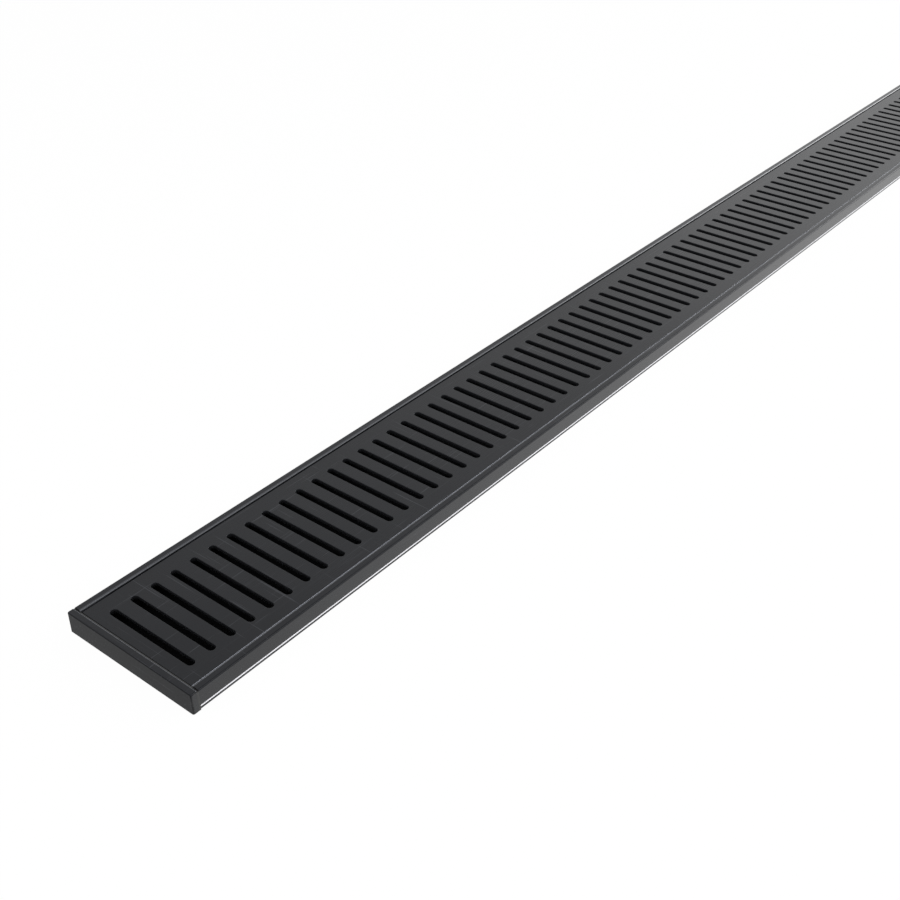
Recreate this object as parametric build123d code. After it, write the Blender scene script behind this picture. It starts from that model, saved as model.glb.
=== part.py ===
from build123d import *
import os

# Channel drain: a low aluminium channel with a slotted cover plate that lies in its rim.
# X runs along the drain, Y across it, Z up. Millimetres.
# The origin is the middle of the underside.

# Overall size
drain_length = 1200.0
drain_width = 100.0
drain_height = 14.0

# End caps, and the flat gasket between each cap and the channel
cap_thickness = 4.0
cap_edge_radius = 0.5
gasket_thickness = 1.2
gasket_drop = 1.0
lug_length = 14.0
lug_clearance = 0.1

# Channel section: base, hollow side boxes and rim
base_thickness = 1.6
base_setback = 0.5
skin = 1.6
side_box_width = 8.0
rim_width = 4.8
rim_edge_radius = 1.0
rim_inner_radius = 1.0
ledge_reach = 2.0
ledge_thickness = 1.6
cove_radius = 1.5

# Groove along the foot of each side, and the pale seal strip in it
strip_depth = 2.0
strip_height = 1.4
strip_clearance = 0.1

# Cover plate and its slots
grate_thickness = 3.0
grate_drop = 1.0
grate_side_gap = 0.9
grate_end_gap = 0.4
grate_edge_radius = 0.3
grate_corner_radius = 0.6
slot_width = 5.0
slot_pitch = 14.4
slot_side_margin = 11.05
slot_end_margin = 10.0

# Rubber pads that carry the cover plate on the ledges
pad_thickness = 1.0
pad_width = 3.2
pad_length = 20.0
pad_end_distance = 70.0
pads_per_side = 6

# Waste outlet in the base, near the right end
outlet_diameter = 50.0
outlet_end_distance = 70.0

# Places worked out from the sizes
half_width = drain_width / 2
cap_inner_x = drain_length / 2 - cap_thickness
channel_end_x = cap_inner_x - gasket_thickness
channel_length = 2 * channel_end_x

grate_top_z = drain_height - grate_drop
grate_under_z = grate_top_z - grate_thickness
ledge_top_z = grate_under_z - pad_thickness
ledge_under_z = ledge_top_z - ledge_thickness

rim_inner_y = half_width - rim_width
inner_wall_y = half_width - side_box_width
ledge_tip_y = inner_wall_y - ledge_reach
base_edge_y = half_width - base_setback
groove_back_y = base_edge_y - strip_depth
groove_top_z = base_thickness + strip_height + strip_clearance

grate_half_width = rim_inner_y - grate_side_gap
grate_length = channel_length - 2 * grate_end_gap
slot_length = 2 * (grate_half_width - slot_side_margin)
slot_count = int((grate_length - 2 * slot_end_margin) / slot_pitch) + 1
pad_centre_y = (ledge_tip_y + grate_half_width) / 2


def face_of(points):
    """Flat face from (across, up) points."""
    return make_face(Polyline(*points, close=True).edges())


def mirrored(points):
    """The same outline on the other side of the drain, still going round the same way."""
    return [(-y, z) for y, z in reversed(points)]


def corners_at(face, places):
    """The corners of a face that lie at the given places, on both sides of the drain."""
    return [
        corner
        for corner in face.vertices()
        for y, z in places
        if abs(abs(corner.X) - y) < 1e-4 and abs(corner.Y - z) < 1e-4
    ]


def along_drain(face, start_x, end_x):
    """A face drawn across the drain, made solid from one place along it to another."""
    return extrude(Plane.YZ.offset(start_x) * face, amount=end_x - start_x)


def rectangle_points(inner_y, outer_y, low_z, high_z):
    """Corners of an upright rectangle, as (across, up) points."""
    return [(inner_y, low_z), (outer_y, low_z), (outer_y, high_z), (inner_y, high_z)]


def chamber_faces(clearance):
    """The hollows in both side boxes, a skin inside the walls and the groove, less a clearance."""
    margin = skin + clearance
    room = rectangle_points(
        inner_wall_y + margin, half_width - margin, base_thickness + margin, ledge_under_z - clearance
    )
    round_groove = rectangle_points(groove_back_y - margin, half_width, 0, groove_top_z + margin)
    return [
        face_of(room) - face_of(round_groove),
        face_of(mirrored(room)) - face_of(mirrored(round_groove)),
    ]


def make_channel():
    """The extruded channel: base, two hollow side boxes with grooves and ledges, and the outlet."""
    right_side = [
        (base_edge_y, 0),
        (base_edge_y, base_thickness),
        (groove_back_y, base_thickness),
        (groove_back_y, groove_top_z),
        (half_width, groove_top_z),
        (half_width, drain_height),
        (rim_inner_y, drain_height),
        (rim_inner_y, ledge_top_z),
        (ledge_tip_y, ledge_top_z),
        (ledge_tip_y, ledge_under_z),
        (inner_wall_y, ledge_under_z),
        (inner_wall_y, base_thickness),
    ]
    section = face_of(right_side + mirrored(right_side))
    section = fillet(corners_at(section, [(inner_wall_y, base_thickness)]), cove_radius)
    section = fillet(corners_at(section, [(half_width, drain_height)]), rim_edge_radius)
    section = fillet(corners_at(section, [(rim_inner_y, drain_height)]), rim_inner_radius)
    for chamber in chamber_faces(0):
        section -= chamber
    body = along_drain(section, -channel_end_x, channel_end_x)
    outlet_x = drain_length / 2 - outlet_end_distance
    return body - Pos(outlet_x, 0) * Cylinder(outlet_diameter / 2, 3 * base_thickness)


def make_grate():
    """The cover plate: one flat plate with a row of round-ended slots across it."""
    outline = Rectangle(grate_length, 2 * grate_half_width)
    outline = fillet(outline.vertices(), grate_corner_radius)
    plate = extrude(Plane.XY.offset(grate_under_z) * outline, amount=grate_thickness)
    plate = fillet(plate.faces().sort_by(Axis.Z)[-1].edges(), grate_edge_radius)
    slot_face = Plane.XY.offset(grate_under_z) * SlotOverall(slot_length, slot_width, rotation=90)
    slot = extrude(slot_face, amount=grate_thickness)
    return plate - GridLocations(slot_pitch, 0, slot_count, 1) * slot


def make_end_cap(side):
    """End plate, eased all round but at its foot, with lugs for the hollows of the side boxes."""
    outer_x = drain_length / 2
    plate = along_drain(
        Pos(0, drain_height / 2) * Rectangle(drain_width, drain_height), cap_inner_x, outer_x
    )
    outer_edges = plate.faces().sort_by(Axis.X)[-1].edges().sort_by(Axis.Z)
    inner_edges = plate.faces().sort_by(Axis.X)[0].edges().sort_by(Axis.Z)
    plate = fillet(outer_edges[1:] + inner_edges[-1:], cap_edge_radius)
    for chamber in chamber_faces(lug_clearance):
        plate += along_drain(chamber, channel_end_x - lug_length, cap_inner_x)
    return plate if side > 0 else Rot(0, 0, 180) * plate


def make_end_gasket(side):
    """Flat gasket between cap and channel, a little lower than the rim, with holes for the lugs."""
    gasket_height = drain_height - gasket_drop
    sheet = Pos(0, gasket_height / 2) * Rectangle(drain_width, gasket_height)
    for chamber in chamber_faces(0):
        sheet -= chamber
    gasket = along_drain(sheet, channel_end_x, cap_inner_x)
    return gasket if side > 0 else Rot(0, 0, 180) * gasket


def make_seal_strip(side):
    """Pale strip that fills the groove along the foot of one side."""
    points = [
        (groove_back_y, base_thickness),
        (base_edge_y, base_thickness),
        (base_edge_y, base_thickness + strip_height),
        (groove_back_y, base_thickness + strip_height),
    ]
    outline = points if side > 0 else mirrored(points)
    return along_drain(face_of(outline), -channel_end_x, channel_end_x)


def make_pad(side, index):
    """One rubber pad between a ledge and the underside of the cover plate."""
    first_x = -channel_end_x + pad_end_distance
    spacing = (channel_length - 2 * pad_end_distance) / (pads_per_side - 1)
    place = Pos(first_x + index * spacing, side * pad_centre_y, ledge_top_z + pad_thickness / 2)
    return place * Box(pad_length, pad_width, pad_thickness)


pieces = {"channel_body": make_channel(), "slotted_grate": make_grate()}
for end_name, side in (("left", -1), ("right", 1)):
    pieces[f"end_cap_{end_name}"] = make_end_cap(side)
    pieces[f"end_gasket_{end_name}"] = make_end_gasket(side)
for side_name, side in (("front", -1), ("rear", 1)):
    pieces[f"seal_strip_{side_name}"] = make_seal_strip(side)
    for index in range(pads_per_side):
        pieces[f"grate_pad_{side_name}_{index + 1}"] = make_pad(side, index)

os.makedirs("parts", exist_ok=True)
for name, piece in pieces.items():
    export_step(piece, f"parts/{name}.step")
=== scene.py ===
import math
from collections import namedtuple

import bmesh
import bpy
from mathutils import Matrix, Vector
from mathutils.geometry import tessellate_polygon


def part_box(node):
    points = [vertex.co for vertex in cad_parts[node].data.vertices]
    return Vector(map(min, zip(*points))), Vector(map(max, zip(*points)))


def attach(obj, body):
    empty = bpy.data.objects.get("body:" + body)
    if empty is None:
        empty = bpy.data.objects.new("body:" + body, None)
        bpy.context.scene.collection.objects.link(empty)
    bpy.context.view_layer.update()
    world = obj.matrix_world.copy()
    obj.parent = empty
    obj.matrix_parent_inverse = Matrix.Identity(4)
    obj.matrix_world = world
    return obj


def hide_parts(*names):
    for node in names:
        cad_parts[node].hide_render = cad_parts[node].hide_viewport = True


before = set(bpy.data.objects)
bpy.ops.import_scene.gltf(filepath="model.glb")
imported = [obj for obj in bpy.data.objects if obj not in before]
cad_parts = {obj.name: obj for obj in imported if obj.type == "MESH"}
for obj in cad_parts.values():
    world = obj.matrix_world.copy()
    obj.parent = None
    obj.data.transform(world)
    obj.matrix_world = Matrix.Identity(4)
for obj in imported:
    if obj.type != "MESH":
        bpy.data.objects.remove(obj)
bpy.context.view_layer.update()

# Low black linear channel drain: extruded channel, slotted cover plate, end caps with gaskets,
# pale seal strips along the feet. Metres; X along the drain, Y across it, Z up.

MM = 0.001
ROOT = "root"

# The cover plate: its slots and its eased edges
SLOT_PITCH = 14.4 * MM
SLOT_WIDTH = 5.0 * MM
SLOT_SIDE_MARGIN = 11.05 * MM
SLOT_END_MARGIN = 10.0 * MM
SLOT_EDGE_ROUND = 0.35 * MM
SLOT_ROUND_STEPS = 16
PLATE_EDGE_ROUND = 0.3 * MM
PLATE_CORNER_ROUND = 0.6 * MM
PLATE_UNDER_ROUND = 0.1 * MM
PLATE_ROUND_STEPS = 4
PLATE_CORNER_STEPS = 6
WELD_DISTANCE = 0.002 * MM

# The channel's section: places across the drain, heights, and the rounding of its corners
BASE_EDGE_Y = 49.5 * MM
BASE_TOP_Z = 1.6 * MM
GROOVE_BACK_Y = 47.5 * MM
GROOVE_TOP_Z = 3.1 * MM
RIM_INNER_Y = 45.2 * MM
LEDGE_TIP_Y = 40.0 * MM
LEDGE_TOP_Z = 9.0 * MM
LEDGE_UNDER_Z = 7.4 * MM
INNER_WALL_Y = 42.0 * MM
SKIN = 1.6 * MM
RIM_INNER_ROUND = 1.0 * MM
RIM_OUTER_ROUND = 1.0 * MM
COVE_ROUND = 1.5 * MM
LEDGE_ROUND = 0.3 * MM
FOOT_ROUND = 0.15 * MM
ROUNDING_STEP = 0.12 * MM

# Rings of points along the channel: how far inside its ends, and how many bays between
END_RING_MARGIN = 0.05 * MM
RING_STEPS = 12

# End caps: their plate, its eased edges and the lugs that go into the channel's hollows
CAP_THICKNESS = 4.0 * MM
CAP_ROUND = 1.0 * MM
CAP_BEVEL = 0.3 * MM
CAP_ROUND_STEPS = 8
LUG_CLEARANCE = 0.1 * MM
LUG_ROOT = 0.2 * MM

# Waste outlet in the base
OUTLET_X = 530.0 * MM
OUTLET_RADIUS = 25.0 * MM
OUTLET_STEPS = 96

# The camera: its place, where it looks and what it holds upward; the lens is in pixels of
# the photograph and the sensor in millimetres
CAMERA_PLACE = Vector((-0.8722, -0.4285, 0.4709))
CAMERA_DIRECTION = Vector((0.64956, 0.51062, -0.56333))
CAMERA_UP = Vector((0.43637, 0.35637, 0.82619))
SENSOR_WIDTH = 36.0
PHOTO_WIDTH = 900.0
FOCAL_PIXELS = 1245.1

# Limits between which the masks of painted light and shade on the finishes fade: places across the
# drain
INNER_RIM_FADE = (44.9 * MM, 45.3 * MM)
SLOT_ROW_FADE = (36.0 * MM, 37.0 * MM)
OUTER_EDGE_FADE = (48.8 * MM, 49.1 * MM)
CREST_START_FADE = (45.0 * MM, 45.15 * MM)
CREST_END_FADE = (46.05 * MM, 46.25 * MM)
PLATE_EDGE_FADE = (43.9 * MM, 44.15 * MM)

# The same for heights, and along the drain
UNDER_COVER_FADE = (11.8 * MM, 12.4 * MM)
ABOVE_BASE_FADE = (0.6 * MM, 0.9 * MM)
CREST_HEIGHT_FADE = (12.9 * MM, 13.05 * MM)
CAP_BEVEL_FADE = (596.3 * MM, 596.4 * MM)

# Tints of the bare tones, and of what the black metal mirrors
COOL = (0.94, 0.98, 1.10)
COOL_SHEEN = (0.88, 0.91, 1.0, 1.0)
COOL_SEAL = (0.98, 0.98, 1.02)

# The black metal mirrors this much on top; where it has a coat, the coat bends light this much
TOP_SHEEN = 0.25
COAT_IOR = 1.25

# The floor and the light from all round
FLOOR_REACH = 12.0
FLOOR_TONE = 0.86
FLOOR_WHITE_SHARE = 0.97
WORLD_STRENGTH = 0.6

# Faces of the black metal with painted light or shade unlike its top: a function that marks them,
# how much they mirror, how much coat they have and, where a highlight is painted, its lighter tone
Zone = namedtuple("Zone", ("mask", "level", "coat", "worn_base"), defaults=(0.0, None))


class Value:
    """A shader socket that takes part in plain sums; each operator adds its Math node."""

    def __init__(self, shader, socket):
        self.shader = shader
        self.socket = socket

    def math(self, operation, first, second):
        return self.shader.node("ShaderNodeMath", {"operation": operation}, {0: first, 1: second})

    def __add__(self, other):
        return self.math("ADD", self, other)

    def __radd__(self, other):
        return self.math("ADD", other, self)

    def __sub__(self, other):
        return self.math("SUBTRACT", self, other)

    def __rsub__(self, other):
        return self.math("SUBTRACT", other, self)

    def __mul__(self, other):
        return self.math("MULTIPLY", self, other)

    def __rmul__(self, other):
        return self.math("MULTIPLY", other, self)

    def __abs__(self):
        return self.math("ABSOLUTE", self, 0.0)


class Shader:
    """One material's or world's node tree, with one method that makes any node."""

    def __init__(self, tree):
        self.tree = tree
        tree.nodes.clear()

    def node(self, kind, settings=None, inputs=None, output=0):
        made = self.tree.nodes.new(kind)
        for name, value in (settings or {}).items():
            setattr(made, name, value)
        for key, value in (inputs or {}).items():
            if isinstance(value, Value):
                self.tree.links.new(value.socket, made.inputs[key])
            else:
                made.inputs[key].default_value = value
        return Value(self, made.outputs[output]) if len(made.outputs) else made

    def place(self, scale):
        """The piece's own coordinates, stretched by a scale along each axis."""
        coordinates = self.node("ShaderNodeTexCoord", output="Object")
        return self.node("ShaderNodeMapping", {}, {"Vector": coordinates, "Scale": scale})

    def along(self, vector, axis):
        """One component of the Object or the Normal coordinate."""
        coordinates = self.node("ShaderNodeTexCoord", output=vector)
        return self.node("ShaderNodeSeparateXYZ", {}, {"Vector": coordinates}, output=axis)

    def noise(self, scale, detail=3.0, roughness=0.55):
        """Soft noise between about 0 and 1; scale is cells per metre along each axis."""
        return self.node(
            "ShaderNodeTexNoise",
            {"noise_dimensions": "3D"},
            {"Vector": self.place(scale), "Scale": 1.0, "Detail": detail, "Roughness": roughness},
        )

    def grain(self, axis, along, across, detail=3.0, roughness=0.55):
        """Noise drawn out along one axis; along and across are in cells per metre."""
        scale = [along if index == axis else across for index in range(3)]
        return self.noise(scale, detail, roughness)

    def between(self, low, high, value):
        """How far a value lies between two limits, from 0 to 1."""
        return self.node(
            "ShaderNodeMapRange",
            {"clamp": True},
            {"Value": value, "From Min": low, "From Max": high, "To Min": 0.0, "To Max": 1.0},
        )

    def mix_colours(self, factor, first, second):
        inputs = {0: factor, 6: first, 7: second}
        return self.node("ShaderNodeMix", {"data_type": "RGBA"}, inputs, output=2)

    def mix_surfaces(self, factor, first, second):
        return self.node("ShaderNodeMixShader", {}, {0: factor, 1: first, 2: second})

    def bump(self, height, strength, distance):
        return self.node(
            "ShaderNodeBump", {}, {"Height": height, "Strength": strength, "Distance": distance}
        )

    def seen_white(self):
        """1 where the camera, a mirroring face or a clear one looks at the surface, else 0."""
        seen = self.node("ShaderNodeLightPath", output="Is Camera Ray")
        for ray in ("Is Glossy Ray", "Is Transmission Ray"):
            seen = seen + self.node("ShaderNodeLightPath", output=ray)
        return self.between(0.0, 1.0, seen)


def new_material(name):
    material = bpy.data.materials.new(name)
    material.use_nodes = True
    return material, Shader(material.node_tree)


def grey(level, tint=(1.0, 1.0, 1.0)):
    """A colour of one tone, from 0 for black to 1 for white, with a tint."""
    return (level * tint[0], level * tint[1], level * tint[2], 1.0)


def channel_inside(shader):
    """1 inside the channel, below the cover plate and between the rims, else 0."""
    across = abs(shader.along("Object", "Y"))
    height = shader.along("Object", "Z")
    between_rims = 1.0 - shader.between(*INNER_RIM_FADE, across)
    under_cover = 1.0 - shader.between(*UNDER_COVER_FADE, height)
    above_base = shader.between(*ABOVE_BASE_FADE, height)
    return between_rims * under_cover * above_base


def slot_walls(shader):
    """1 on the upright walls of the slots, 0 on the flat faces and along the plate's sides."""
    flatness = abs(shader.along("Normal", "Z"))
    across = abs(shader.along("Object", "Y"))
    upright = 1.0 - shader.between(0.25, 0.6, flatness)
    return upright * (1.0 - shader.between(*SLOT_ROW_FADE, across))


def side_faces(shader):
    """1 on upright faces that look across the drain, fading out on their roundings."""
    steepness = abs(shader.along("Normal", "Z"))
    sideways = shader.between(0.5, 0.75, abs(shader.along("Normal", "Y")))
    return sideways * (1.0 - shader.between(0.1, 0.37, steepness))


def outer_roundings(shader):
    """1 on the roundings along the drain's outer top edges."""
    steepness = abs(shader.along("Normal", "Z"))
    across = abs(shader.along("Object", "Y"))
    turning = shader.between(0.05, 0.3, steepness) * (1.0 - shader.between(0.9, 0.99, steepness))
    return turning * shader.between(*OUTER_EDGE_FADE, across)


def rim_crests(shader):
    """1 on the roundings along the inner edges of the two rims."""
    across = abs(shader.along("Object", "Y"))
    height = shader.along("Object", "Z")
    start = shader.between(*CREST_START_FADE, across)
    end = 1.0 - shader.between(*CREST_END_FADE, across)
    return start * end * shader.between(*CREST_HEIGHT_FADE, height)


def plate_sides(shader):
    """1 on the cover plate's long upright sides and the roundings above them."""
    outermost = shader.between(*PLATE_EDGE_FADE, abs(shader.along("Object", "Y")))
    return outermost * shader.between(0.6, 0.85, abs(shader.along("Normal", "Y")))


def cap_bevels(shader):
    """1 on the narrow bevel along each end cap's inner top edge."""
    innermost = 1.0 - shader.between(*CAP_BEVEL_FADE, abs(shader.along("Object", "X")))
    steepness = shader.along("Normal", "Z")
    return innermost * shader.between(0.6, 0.65, steepness)


def end_faces(shader):
    """1 on the faces that look out at either end of the drain."""
    outward = shader.along("Normal", "X") * shader.along("Object", "X")
    return shader.between(0.25, 0.5, outward)


# Painted reflection: faces turned across the drain get their own sheen and a coat, so they read
# brighter than the top.
PAINTED_SHEEN_SIDES = Zone(side_faces, level=0.18, coat=1.0)
# Painted shade: the outer top roundings mirror less, which dims the highlight the lamps give them.
PAINTED_SHADE_ROUNDINGS = Zone(outer_roundings, level=0.14)
# Painted highlight: the rims' inner roundings get a lighter tone and a coat.
PAINTED_HIGHLIGHT_RIMS = Zone(rim_crests, level=0.25, coat=1.0, worn_base=0.035)
# Painted shade: faces at the drain's ends mirror less than the rest.
PAINTED_SHADE_ENDS = Zone(end_faces, level=0.07)
# Painted highlight: the end caps' inner bevels get a much lighter tone and a stronger sheen.
PAINTED_HIGHLIGHT_BEVELS = Zone(cap_bevels, level=0.5, worn_base=0.15)
# Painted highlight: the cover plate's long sides get a light grey tone and a coat.
PAINTED_HIGHLIGHT_PLATE_SIDES = Zone(plate_sides, level=0.25, coat=1.0, worn_base=0.47)


def make_anodised_aluminium(name, base, grain_axis, roughness, zones, slot_wall_light=None, hollow=False):
    """Matt black anodised aluminium with a faint grain drawn along one axis. Each zone paints
    light or shade on the faces under its mask. The slot walls take a lighter tone, which is
    painted light;
    inside a hollow part, a darker and duller finish is painted shade."""
    material, shader = new_material(name)
    fine = shader.grain(grain_axis, along=9.0, across=1500.0, detail=2.0)
    streaks = shader.grain(grain_axis, along=5.0, across=420.0, roughness=0.6)
    hairlines = shader.between(0.66, 0.74, streaks)
    clouds = shader.noise((14.0, 22.0, 22.0), 3.0)
    speckle = shader.noise((2400.0, 2400.0, 2400.0), 2.0)
    lengthways_rubs = shader.grain(0, along=22.0, across=900.0, detail=1.0)
    crossways_rubs = shader.grain(1, along=22.0, across=900.0, detail=1.0)
    scratches = shader.between(0.67, 0.75, lengthways_rubs)
    scratches = scratches + shader.between(0.69, 0.77, crossways_rubs)
    tone = shader.mix_colours(
        shader.between(0.3, 0.7, clouds), grey(base * 0.8, COOL), grey(base * 1.2, COOL)
    )
    tone = shader.mix_colours(
        0.3 * shader.between(0.4, 0.75, speckle), tone, grey(base * 1.7, COOL)
    )
    tone = shader.mix_colours(0.4 * hairlines, tone, grey(base * 2.6, COOL))
    tone = shader.mix_colours(0.8 * scratches, tone, grey(base * 6.0, COOL))
    # Painted light: a lighter tone on the slot walls stands in for light falling on them.
    if slot_wall_light:
        tone = shader.mix_colours(slot_walls(shader), tone, grey(slot_wall_light, COOL))
    rough = roughness + 0.05 * (fine - 0.5) + 0.06 * (clouds - 0.5) - 0.04 * hairlines
    relief = shader.bump(0.6 * fine + 0.6 * streaks + 0.4 * speckle, 0.10, 0.03 * MM)

    def finish(colour, level, coat):
        return shader.node(
            "ShaderNodeBsdfPrincipled",
            {},
            {
                "Base Color": colour,
                "Roughness": rough,
                "Specular IOR Level": level,
                "Specular Tint": COOL_SHEEN,
                "Coat Weight": coat,
                "Coat Roughness": roughness,
                "Coat IOR": COAT_IOR,
                "Normal": relief,
            },
        )

    # Painted light and shade: each zone mixes in a copy of the finish with its own sheen and coat,
    # and a lighter tone for a painted highlight.
    surface = finish(tone, TOP_SHEEN, 0.0)
    for zone in zones:
        colour = grey(zone.worn_base, COOL) if zone.worn_base else tone
        zone_surface = finish(colour, zone.level, zone.coat)
        surface = shader.mix_surfaces(zone.mask(shader), surface, zone_surface)
    # Painted shade: inside the channel, under the cover, a darker finish that barely mirrors
    # stands in for shade.
    if hollow:
        inside_shade = shader.node(
            "ShaderNodeBsdfPrincipled",
            {},
            {"Base Color": grey(0.004, COOL), "Roughness": 0.85, "Specular IOR Level": 0.05},
        )
        surface = shader.mix_surfaces(channel_inside(shader), surface, inside_shade)
    shader.node("ShaderNodeOutputMaterial", {}, {"Surface": surface})
    return material


def make_rubber(name, base, roughness, sheen):
    """Matt black rubber with a fine talc-like speckle."""
    material, shader = new_material(name)
    speckle = shader.noise((1800.0, 1800.0, 1800.0), 3.0)
    clouds = shader.noise((60.0, 60.0, 60.0), 2.0)
    tone = shader.mix_colours(shader.between(0.35, 0.75, speckle), grey(base), grey(base * 1.8))
    rough = roughness + 0.1 * (clouds - 0.5)
    relief = shader.bump(speckle, 0.2, 0.05 * MM)
    surface = shader.node(
        "ShaderNodeBsdfPrincipled",
        {},
        {"Base Color": tone, "Roughness": rough, "Specular IOR Level": sheen, "Normal": relief},
    )
    shader.node("ShaderNodeOutputMaterial", {}, {"Surface": surface})
    return material


def make_seal(name):
    """Pale closed-cell seal strip: even, matt, with fine pores."""
    material, shader = new_material(name)
    pores = shader.noise((1500.0, 1500.0, 1500.0), 3.0, 0.7)
    clouds = shader.noise((30.0, 200.0, 200.0), 3.0)
    darker, lighter, pore_tone = (grey(level, COOL_SEAL) for level in (0.74, 0.80, 0.62))
    tone = shader.mix_colours(shader.between(0.3, 0.7, clouds), darker, lighter)
    tone = shader.mix_colours(0.5 * shader.between(0.62, 0.72, pores), tone, pore_tone)
    relief = shader.bump(pores, 0.3, 0.06 * MM)
    surface = shader.node(
        "ShaderNodeBsdfPrincipled",
        {},
        {"Base Color": tone, "Roughness": 0.75 + 0.1 * (pores - 0.5), "Normal": relief},
    )
    shader.node("ShaderNodeOutputMaterial", {}, {"Surface": surface})
    return material


def round_profile(top_round, under_round, top_z, under_z):
    """Section of a rounded plate edge, as (inset from the edge, height), from top to underside."""
    angles = [step * math.pi / 2 / PLATE_ROUND_STEPS for step in range(PLATE_ROUND_STEPS + 1)]
    top = [
        (top_round * (1 - math.sin(angle)), top_z - top_round * (1 - math.cos(angle)))
        for angle in angles
    ]
    return top + [(0.0, under_z + under_round), (under_round, under_z)]


def arc_points(centre, radius, start, end, steps):
    """Points round an arc with their outward directions, as (x, y, direction x, direction y)."""
    points = []
    for step in range(steps + 1):
        angle = start + (end - start) * step / steps
        turn = (math.cos(angle), math.sin(angle))
        points.append((centre[0] + radius * turn[0], centre[1] + radius * turn[1], *turn))
    return points


class PlateMesh:
    """Collects the vertices and faces of a piece of plate."""

    def __init__(self):
        self.vertices = []
        self.faces = []
        self.smooth = []

    def add_face(self, indices, smooth=False):
        self.faces.append(indices)
        self.smooth.append(smooth)

    def sweep(self, path, profile, material_side, closed):
        """Carries an edge section along a path; returns its top and underside rows of vertices.
        material_side is -1 where the path's directions point out of the plate, 1 where they
        point into it."""
        rows = []
        for inset, z in profile:
            row = []
            for x, y, direction_x, direction_y in path:
                shift = material_side * inset
                row.append(len(self.vertices))
                self.vertices.append((x + direction_x * shift, y + direction_y * shift, z))
            rows.append(row)
        count = len(path)
        for upper, lower in zip(rows, rows[1:]):
            for place in range(count if closed else count - 1):
                after = (place + 1) % count
                quad = [upper[place], lower[place], lower[after], upper[after]]
                if material_side > 0:
                    quad.reverse()
                self.add_face(quad, True)
        return rows[0], rows[-1]

    def cover(self, top_loop, under_loop):
        """Closes the plate above and below between matching loops of vertices."""
        self.add_face(top_loop)
        self.add_face(list(reversed(under_loop)))

    def build(self, name):
        mesh = bpy.data.meshes.new(name)
        mesh.from_pydata(self.vertices, [], self.faces)
        mesh.polygons.foreach_set("use_smooth", self.smooth)
        mesh.update()
        return mesh


def make_slot_tile(half_width, top_z, under_z):
    """One pitch of the cover plate: its two long edges and one round-ended slot. Its flat
    faces, above and below, are halves that meet in the middle of the slot's ends."""
    tile = PlateMesh()
    edge = round_profile(PLATE_EDGE_ROUND, PLATE_UNDER_ROUND, top_z, under_z)
    slot_edge = round_profile(SLOT_EDGE_ROUND, PLATE_UNDER_ROUND, top_z, under_z)
    half_pitch = SLOT_PITCH / 2
    radius = SLOT_WIDTH / 2
    centre_y = half_width - SLOT_SIDE_MARGIN - radius
    rear_path = [(x, half_width, 0, 1) for x in (half_pitch, 0, -half_pitch)]
    front_path = [(x, -half_width, 0, -1) for x in (-half_pitch, 0, half_pitch)]
    rear = tile.sweep(rear_path, edge, -1, False)
    front = tile.sweep(front_path, edge, -1, False)
    ring_path = arc_points((0, centre_y), radius, 0, math.pi, SLOT_ROUND_STEPS)
    ring_path += arc_points((0, -centre_y), radius, math.pi, 2 * math.pi, SLOT_ROUND_STEPS)
    ring = tile.sweep(ring_path, slot_edge, 1, True)
    quarter = SLOT_ROUND_STEPS // 2
    far_middle, near_middle = quarter, SLOT_ROUND_STEPS + 1 + quarter
    for level, faces_up in ((0, True), (1, False)):
        loop = ring[level]
        left = loop[far_middle:near_middle + 1]
        right = loop[near_middle:] + loop[:far_middle + 1]
        left_face = left + [front[level][1], front[level][0], rear[level][2], rear[level][1]]
        right_face = right + [rear[level][1], rear[level][0], front[level][2], front[level][1]]
        for face in (left_face, right_face):
            tile.add_face(list(reversed(face)) if faces_up else face)
    return tile.build("slot_tile")


def make_plate_end(half_width, start_x, end_x, top_z, under_z):
    """The plain strip at one end of the cover plate, with its rounded corners."""
    strip = PlateMesh()
    edge = round_profile(PLATE_EDGE_ROUND, PLATE_UNDER_ROUND, top_z, under_z)
    corner = PLATE_CORNER_ROUND
    centre_x, centre_y = end_x - corner, half_width - corner
    quarter = math.pi / 2
    path = [(start_x, -half_width, 0, -1)]
    path += arc_points((centre_x, -centre_y), corner, -quarter, 0, PLATE_CORNER_STEPS)
    path += arc_points((centre_x, centre_y), corner, 0, quarter, PLATE_CORNER_STEPS)
    path += [(start_x, half_width, 0, 1)]
    strip.cover(*strip.sweep(path, edge, -1, False))
    return strip.build("plate_end")


def new_object(name, mesh):
    made = bpy.data.objects.new(name, mesh)
    bpy.context.scene.collection.objects.link(made)
    return made


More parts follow.
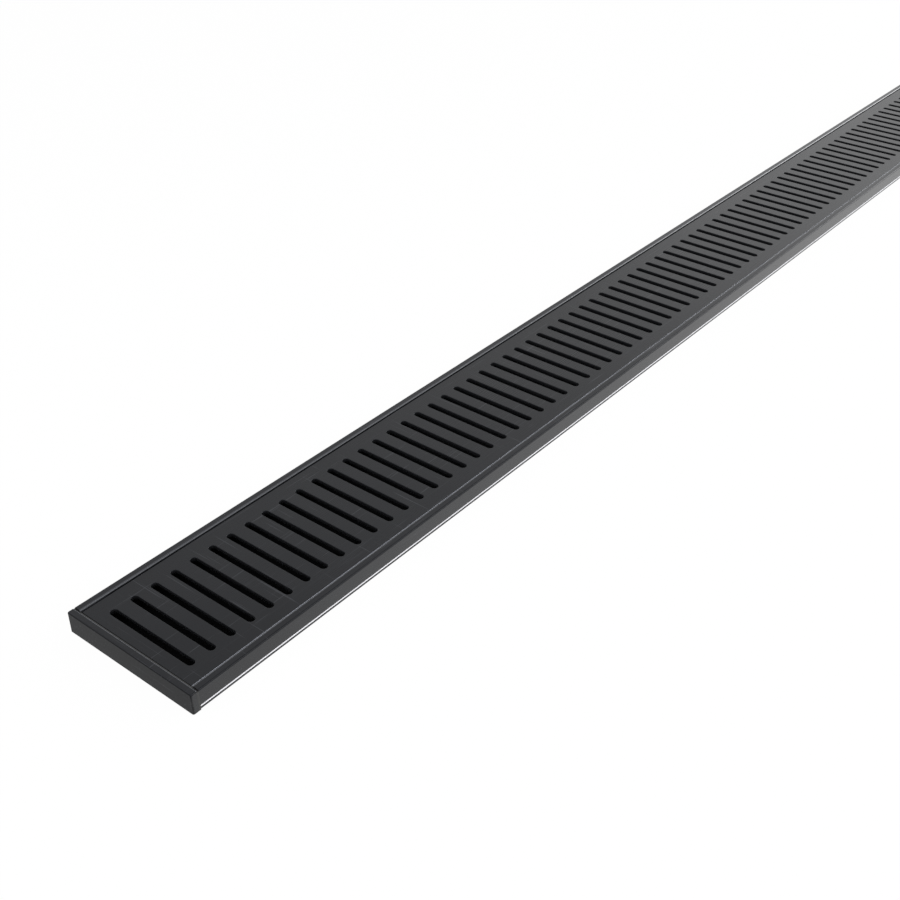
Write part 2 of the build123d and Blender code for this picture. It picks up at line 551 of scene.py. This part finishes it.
def make_row_tree(material):
    """Geometry Nodes: copies of a tile in a row along X, between two plain ends, welded."""
    tree = bpy.data.node_groups.new("slot_row", "GeometryNodeTree")
    sockets = tree.interface
    sockets.new_socket("Geometry", in_out="INPUT", socket_type="NodeSocketGeometry")
    for name, kind in (
        ("Tile", "NodeSocketObject"),
        ("End", "NodeSocketObject"),
        ("Count", "NodeSocketInt"),
        ("Pitch", "NodeSocketFloat"),
        ("Weld", "NodeSocketFloat"),
    ):
        sockets.new_socket(name, in_out="INPUT", socket_type=kind)
    sockets.new_socket("Geometry", in_out="OUTPUT", socket_type="NodeSocketGeometry")

    def node(kind, settings=None, inputs=None):
        made = tree.nodes.new(kind)
        for name, value in (settings or {}).items():
            setattr(made, name, value)
        for key, value in (inputs or {}).items():
            if isinstance(value, bpy.types.NodeSocket):
                tree.links.new(value, made.inputs[key])
            else:
                made.inputs[key].default_value = value
        return made

    def math_node(operation, first, second):
        return node("ShaderNodeMath", {"operation": operation}, {0: first, 1: second}).outputs[0]

    given = node("NodeGroupInput")
    spaces = math_node("SUBTRACT", given.outputs["Count"], 1.0)
    length = math_node("MULTIPLY", spaces, given.outputs["Pitch"])
    start = math_node("MULTIPLY", length, -0.5)
    start_place = node("ShaderNodeCombineXYZ", {}, {"X": start})
    step = node("ShaderNodeCombineXYZ", {}, {"X": given.outputs["Pitch"]})
    row = node(
        "GeometryNodeMeshLine",
        {"mode": "OFFSET"},
        {
            "Count": given.outputs["Count"],
            "Start Location": start_place.outputs[0],
            "Offset": step.outputs[0],
        },
    )
    tile = node("GeometryNodeObjectInfo", {}, {"Object": given.outputs["Tile"]})
    copies = node(
        "GeometryNodeInstanceOnPoints",
        {},
        {"Points": row.outputs["Mesh"], "Instance": tile.outputs["Geometry"]},
    )
    end = node("GeometryNodeObjectInfo", {}, {"Object": given.outputs["End"]})
    other_end = node(
        "GeometryNodeTransform",
        {},
        {"Geometry": end.outputs["Geometry"], "Rotation": (0.0, 0.0, math.pi)},
    )
    joined = node("GeometryNodeJoinGeometry")
    for source in (copies.outputs["Instances"], end.outputs["Geometry"], other_end.outputs[0]):
        tree.links.new(source, joined.inputs[0])
    real = node("GeometryNodeRealizeInstances", {}, {"Geometry": joined.outputs[0]})
    welded = node(
        "GeometryNodeMergeByDistance",
        {},
        {"Geometry": real.outputs[0], "Distance": given.outputs["Weld"]},
    )
    finished = node(
        "GeometryNodeSetMaterial", {}, {"Geometry": welded.outputs[0], "Material": material}
    )
    result = node("NodeGroupOutput")
    tree.links.new(finished.outputs[0], result.inputs[0])
    return tree


def set_tree_inputs(modifier, values):
    """Gives a Geometry Nodes modifier its inputs by name, through their identifiers."""
    for item in modifier.node_group.interface.items_tree:
        if item.item_type == "SOCKET" and item.in_out == "INPUT" and item.name in values:
            modifier[item.identifier] = values[item.name]


def make_cover_plate(material):
    """The slotted cover plate with its slots' edges eased, in place of the plain node."""
    low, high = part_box("slotted_grate")
    half_width, half_length = high.y, high.x
    count = int((2 * half_length - 2 * SLOT_END_MARGIN) / SLOT_PITCH) + 1
    row_end = count * SLOT_PITCH / 2
    tile = new_object("slot_tile", make_slot_tile(half_width, high.z, low.z))
    end = new_object("plate_end", make_plate_end(half_width, row_end, half_length, high.z, low.z))
    carrier = new_object("cover_row", bpy.data.meshes.new("cover_row"))
    modifier = carrier.modifiers.new("slot_row", "NODES")
    modifier.node_group = make_row_tree(material)
    set_tree_inputs(
        modifier,
        {"Tile": tile, "End": end, "Count": count, "Pitch": SLOT_PITCH, "Weld": WELD_DISTANCE},
    )
    bpy.context.view_layer.update()
    evaluated = carrier.evaluated_get(bpy.context.evaluated_depsgraph_get())
    plate_mesh = bpy.data.meshes.new_from_object(evaluated)
    for helper in (carrier, tile, end):
        bpy.data.objects.remove(helper)
    plate_mesh.name = "cover_plate"
    plate = new_object("cover_plate", plate_mesh)
    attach(plate, ROOT)
    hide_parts("slotted_grate")


def rounded_outline(corners):
    """Points round a section from (across, up, radius) corners, each followed by whether the
    stretch after it belongs to a rounding."""
    points = []
    for index, (y, z, radius) in enumerate(corners):
        if radius == 0.0:
            points.append((y, z, False))
            continue
        corner = Vector((y, z))
        before = (Vector(corners[index - 1][:2]) - corner).normalized()
        after = (Vector(corners[(index + 1) % len(corners)][:2]) - corner).normalized()
        centre = corner + radius * (before + after)
        steps = max(3, math.ceil(radius / ROUNDING_STEP))
        for step in range(steps + 1):
            angle = step / steps * math.pi / 2
            place = centre - radius * (after * math.cos(angle) + before * math.sin(angle))
            points.append((place.x, place.y, step < steps))
    return points


def channel_corners(top_z, half_width):
    """The channel's outline, anticlockwise from the foot on the +Y side."""
    side = [
        (BASE_EDGE_Y, 0.0, FOOT_ROUND),
        (BASE_EDGE_Y, BASE_TOP_Z, FOOT_ROUND),
        (GROOVE_BACK_Y, BASE_TOP_Z, 0.0),
        (GROOVE_BACK_Y, GROOVE_TOP_Z, 0.0),
        (half_width, GROOVE_TOP_Z, FOOT_ROUND),
        (half_width, top_z, RIM_OUTER_ROUND),
        (RIM_INNER_Y, top_z, RIM_INNER_ROUND),
        (RIM_INNER_Y, LEDGE_TOP_Z, 0.0),
        (LEDGE_TIP_Y, LEDGE_TOP_Z, LEDGE_ROUND),
        (LEDGE_TIP_Y, LEDGE_UNDER_Z, LEDGE_ROUND),
        (INNER_WALL_Y, LEDGE_UNDER_Z, 0.0),
        (INNER_WALL_Y, BASE_TOP_Z, COVE_ROUND),
    ]
    return side + [(-y, z, radius) for y, z, radius in reversed(side)]


def hollow_corners(half_width, clearance):
    """Outlines of the hollows in the two side boxes less a clearance, clockwise."""
    margin = SKIN + clearance
    inner_y, middle_y, outer_y = INNER_WALL_Y + margin, GROOVE_BACK_Y - margin, half_width - margin
    low_z, step_z, high_z = BASE_TOP_Z + margin, GROOVE_TOP_Z + margin, LEDGE_UNDER_Z - clearance
    right = [
        (inner_y, low_z, 0.0),
        (inner_y, high_z, 0.0),
        (outer_y, high_z, 0.0),
        (outer_y, step_z, 0.0),
        (middle_y, step_z, 0.0),
        (middle_y, low_z, 0.0),
    ]
    return [right, [(-y, z, radius) for y, z, radius in reversed(right)]]


class SectionMesh(PlateMesh):
    """A section drawn across the drain and carried along it between two places. Rings just
    inside the ends keep the long faces' shading apart from the flat ends."""

    def __init__(self, start_x, end_x):
        super().__init__()
        first = start_x + END_RING_MARGIN
        inside = end_x - start_x - 2 * END_RING_MARGIN
        rings = [first + inside * step / RING_STEPS for step in range(RING_STEPS + 1)]
        self.stations = [start_x] + rings + [end_x]

    def add_ring(self, points):
        first = len(self.vertices)
        self.vertices.extend(points)
        return list(range(first, len(self.vertices)))

    def carry(self, outline, left_open=()):
        """Walls along an outline that goes anticlockwise round solid metal; left_open names
        stretches that other faces will close."""
        rings = [self.add_ring([(x, y, z) for y, z, smooth in outline]) for x in self.stations]
        count = len(outline)
        for near, far in zip(rings, rings[1:]):
            for place in range(count):
                if place not in left_open:
                    after = (place + 1) % count
                    quad = [near[place], near[after], far[after], far[place]]
                    self.add_face(quad, bool(outline[place][2]))
        return rings

    def fill(self, loops, facing):
        """Flat triangles inside a loop of vertices and outside the loops after it."""
        order = [index for loop in loops for index in loop]
        corners = [[Vector(self.vertices[index]) for index in loop] for loop in loops]
        for triangle in tessellate_polygon(corners):
            face = [order[corner] for corner in triangle]
            a, b, c = (Vector(self.vertices[index]) for index in face)
            if (b - a).cross(c - a).dot(facing) < 0:
                face.reverse()
            self.add_face(face)


def make_channel(material):
    """The channel with fine roundings along its rims, in place of the coarser node."""
    low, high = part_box("channel_body")
    section = SectionMesh(low.x, high.x)
    outline = rounded_outline(channel_corners(high.z, high.y))
    # The flat stretches over the middle of the drain, which the outlet passes through
    flats = [
        place for place in range(len(outline))
        if outline[place][0] * outline[(place + 1) % len(outline)][0] < 0
    ]
    outer = section.carry(outline, flats)
    hollows = [section.carry(corners) for corners in hollow_corners(high.y, 0.0)]
    for end, facing in ((0, Vector((-1, 0, 0))), (-1, Vector((1, 0, 0)))):
        section.fill([outer[end]] + [hollow[end] for hollow in hollows], facing)
    circle = arc_points((OUTLET_X, 0.0), OUTLET_RADIUS, 0, 2 * math.pi, OUTLET_STEPS)[:-1]
    bore = {}
    for place in flats:
        z = outline[place][1]
        after = (place + 1) % len(outline)
        bore[z] = section.add_ring([(x, y, z) for x, y, _, _ in circle])
        for bay, (near, far) in enumerate(zip(outer, outer[1:])):
            sheet = [near[place], near[after], far[after], far[place]]
            if section.stations[bay] < OUTLET_X < section.stations[bay + 1]:
                section.fill([sheet, bore[z]], Vector((0, 0, 1 if z > 0 else -1)))
            else:
                section.add_face(sheet)
    upper, lower = bore[max(bore)], bore[min(bore)]
    for place in range(OUTLET_STEPS):
        after = (place + 1) % OUTLET_STEPS
        section.add_face([upper[place], upper[after], lower[after], lower[place]], True)
    channel = new_object("channel", section.build("channel"))
    channel.data.materials.append(material)
    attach(channel, ROOT)
    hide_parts("channel_body")


def make_lugs(start_x, end_x, half_width):
    """The two lugs of the right end cap, from their ends to just inside its plate."""
    lugs = SectionMesh(start_x, end_x)
    for corners in hollow_corners(half_width, LUG_CLEARANCE):
        rings = lugs.carry(list(reversed(corners)))
        lugs.fill([rings[0]], Vector((-1, 0, 0)))
        lugs.fill([rings[-1]], Vector((1, 0, 0)))
    return lugs.build("lugs")


def edges_to_round(model, outer_x):
    """The edges round a cap's outer face and beside its top, but not those at its foot."""
    chosen = []
    for edge in model.edges:
        xs = [corner.co.x for corner in edge.verts]
        zs = [corner.co.z for corner in edge.verts]
        on_outer_face = min(xs) == outer_x and max(zs) > 0.0
        beside_top = xs[0] != xs[1] and min(zs) > 0.0
        if on_outer_face or beside_top:
            chosen.append(edge)
    return chosen


def make_end_cap(side_name, material):
    """An end cap with fine roundings, in place of the coarser node; it is made at the right
    end and turned round for the left."""
    low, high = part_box("end_cap_" + side_name)
    outer_x, lug_x = max(high.x, -low.x), min(abs(low.x), abs(high.x))
    inner_x = outer_x - CAP_THICKNESS
    model = bmesh.new()
    bmesh.ops.create_cube(model, size=1.0)
    for corner in model.verts:
        x, y, z = corner.co
        corner.co = (outer_x if x > 0 else inner_x, 2 * high.y * y, high.z if z > 0 else 0.0)
    rounded = bmesh.ops.bevel(
        model, geom=edges_to_round(model, outer_x), offset=CAP_ROUND, offset_type="OFFSET",
        segments=CAP_ROUND_STEPS, profile=0.5, affect="EDGES",
    )
    for face in rounded["faces"]:
        face.smooth = True
    cut = bmesh.ops.bisect_plane(
        model,
        geom=model.verts[:] + model.edges[:] + model.faces[:],
        plane_co=(inner_x, 0.0, high.z - CAP_BEVEL),
        plane_no=Vector((-1, 0, 1)).normalized(),
        clear_outer=True,
    )
    bmesh.ops.edgeloop_fill(
        model, edges=[part for part in cut["geom_cut"] if isinstance(part, bmesh.types.BMEdge)]
    )
    bmesh.ops.recalc_face_normals(model, faces=model.faces[:])
    lugs = make_lugs(lug_x, inner_x + LUG_ROOT, high.y)
    model.from_mesh(lugs)
    bpy.data.meshes.remove(lugs)
    if side_name == "left":
        bmesh.ops.rotate(model, verts=model.verts[:], matrix=Matrix.Rotation(math.pi, 3, "Z"))
    mesh = bpy.data.meshes.new("cap_" + side_name)
    model.to_mesh(mesh)
    model.free()
    mesh.materials.append(material)
    cap = new_object("cap_" + side_name, mesh)
    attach(cap, ROOT)
    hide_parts("end_cap_" + side_name)


def assign(node_names, material):
    """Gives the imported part's own pieces their material."""
    for name in node_names:
        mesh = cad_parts[name].data
        mesh.materials.clear()
        mesh.materials.append(material)


def make_floor():
    """Wide pale floor that keeps a soft shadow."""
    mesh = bpy.data.meshes.new("floor")
    turns = ((-1, -1), (1, -1), (1, 1), (-1, 1))
    corners = [(FLOOR_REACH * x, FLOOR_REACH * y, 0.0) for x, y in turns]
    mesh.from_pydata(corners, [], [(0, 1, 2, 3)])
    floor = new_object("floor", mesh)
    material, shader = new_material("pale_floor")
    matt = shader.node("ShaderNodeBsdfDiffuse", {}, {"Color": grey(FLOOR_TONE)})
    white = shader.node("ShaderNodeEmission", {}, {"Color": grey(1.0), "Strength": 1.0})
    surface = shader.mix_surfaces(FLOOR_WHITE_SHARE * shader.seen_white(), matt, white)
    shader.node("ShaderNodeOutputMaterial", {}, {"Surface": surface})
    mesh.materials.append(material)


def make_world():
    """Even light from all round, which looks white where it is seen."""
    world = bpy.data.worlds.new("studio")
    bpy.context.scene.world = world
    world.use_nodes = True
    shader = Shader(world.node_tree)
    dim, white = (
        shader.node("ShaderNodeBackground", {}, {"Color": grey(1.0), "Strength": strength})
        for strength in (WORLD_STRENGTH, 1.0)
    )
    surface = shader.mix_surfaces(shader.seen_white(), dim, white)
    shader.node("ShaderNodeOutputWorld", {}, {"Surface": surface})


def make_lamp(name, place, target, width, height, watts):
    """A flat soft lamp at a place, turned to face a target."""
    lamp = bpy.data.lights.new(name, "AREA")
    lamp.shape = "RECTANGLE"
    lamp.size = width
    lamp.size_y = height
    lamp.energy = watts
    holder = new_object(name, lamp)
    holder.location = place
    holder.rotation_euler = (Vector(target) - Vector(place)).to_track_quat("-Z", "Y").to_euler()


def make_lights():
    """Five soft lamps: over the near side, along it, past the far end twice, and at the left."""
    near_middle, far_middle = (-0.2, 0.0, 0.0), (0.2, 0.0, 0.0)
    near_end, far_end = (-0.5, 0.0, 0.0), (0.3, 0.0, 0.0)
    make_lamp("key_softbox", (-0.5, -1.7, 1.9), near_middle, width=2.0, height=1.2, watts=18.0)
    make_lamp("side_softbox", (1.6, -2.2, 1.1), near_middle, width=2.8, height=1.6, watts=45.0)
    make_lamp("low_softbox", (2.8, -0.9, 0.9), far_end, width=1.6, height=1.4, watts=34.0)
    make_lamp("end_softbox", (2.74, 0.81, 1.0), far_middle, width=1.4, height=1.0, watts=1.5)
    make_lamp("near_softbox", (-1.8, 0.3, 1.2), near_end, width=2.2, height=1.6, watts=14.0)


def make_camera():
    """The camera that the photograph was solved for."""
    data = bpy.data.cameras.new("camera")
    data.sensor_width = SENSOR_WIDTH
    data.sensor_fit = "HORIZONTAL"
    data.lens = FOCAL_PIXELS / PHOTO_WIDTH * SENSOR_WIDTH
    data.clip_start = 0.01
    data.clip_end = 50.0
    data.dof.use_dof = False
    camera = new_object("camera", data)
    back = -CAMERA_DIRECTION.normalized()
    right = CAMERA_UP.cross(back).normalized()
    up = back.cross(right)
    turn = Matrix((right, up, back)).transposed().to_4x4()
    camera.matrix_world = Matrix.Translation(CAMERA_PLACE) @ turn
    bpy.context.scene.camera = camera


def make_looks():
    """Makes the finishes, gives them to the pieces, and makes the pieces that have finer edges
    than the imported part's."""
    extrusion = make_anodised_aluminium(
        "black_extrusion", base=0.006, grain_axis=0, roughness=0.27,
        zones=[PAINTED_SHEEN_SIDES, PAINTED_SHADE_ROUNDINGS, PAINTED_HIGHLIGHT_RIMS], hollow=True,
    )
    cap = make_anodised_aluminium(
        "black_end_cap", base=0.006, grain_axis=1, roughness=0.30,
        zones=[PAINTED_SHEEN_SIDES, PAINTED_SHADE_ROUNDINGS, PAINTED_SHADE_ENDS, PAINTED_HIGHLIGHT_BEVELS],
    )
    plate = make_anodised_aluminium(
        "black_cover_plate", base=0.005, grain_axis=0, roughness=0.27,
        zones=[PAINTED_SHEEN_SIDES, PAINTED_HIGHLIGHT_PLATE_SIDES], slot_wall_light=0.012,
    )
    rubber = make_rubber("gasket_rubber", base=0.008, roughness=0.35, sheen=0.5)
    pad = make_rubber("pad_rubber", base=0.018, roughness=0.5, sheen=0.35)
    seal = make_seal("pale_seal")
    names = sorted(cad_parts)
    make_channel(extrusion)
    for side_name in ("left", "right"):
        make_end_cap(side_name, cap)
    assign([name for name in names if name.startswith("end_gasket")], rubber)
    assign([name for name in names if name.startswith("grate_pad")], pad)
    assign([name for name in names if name.startswith("seal_strip")], seal)
    make_cover_plate(plate)


scene = bpy.context.scene
scene.view_settings.view_transform = "Standard"
make_looks()
make_floor()
make_world()
make_lights()
make_camera()
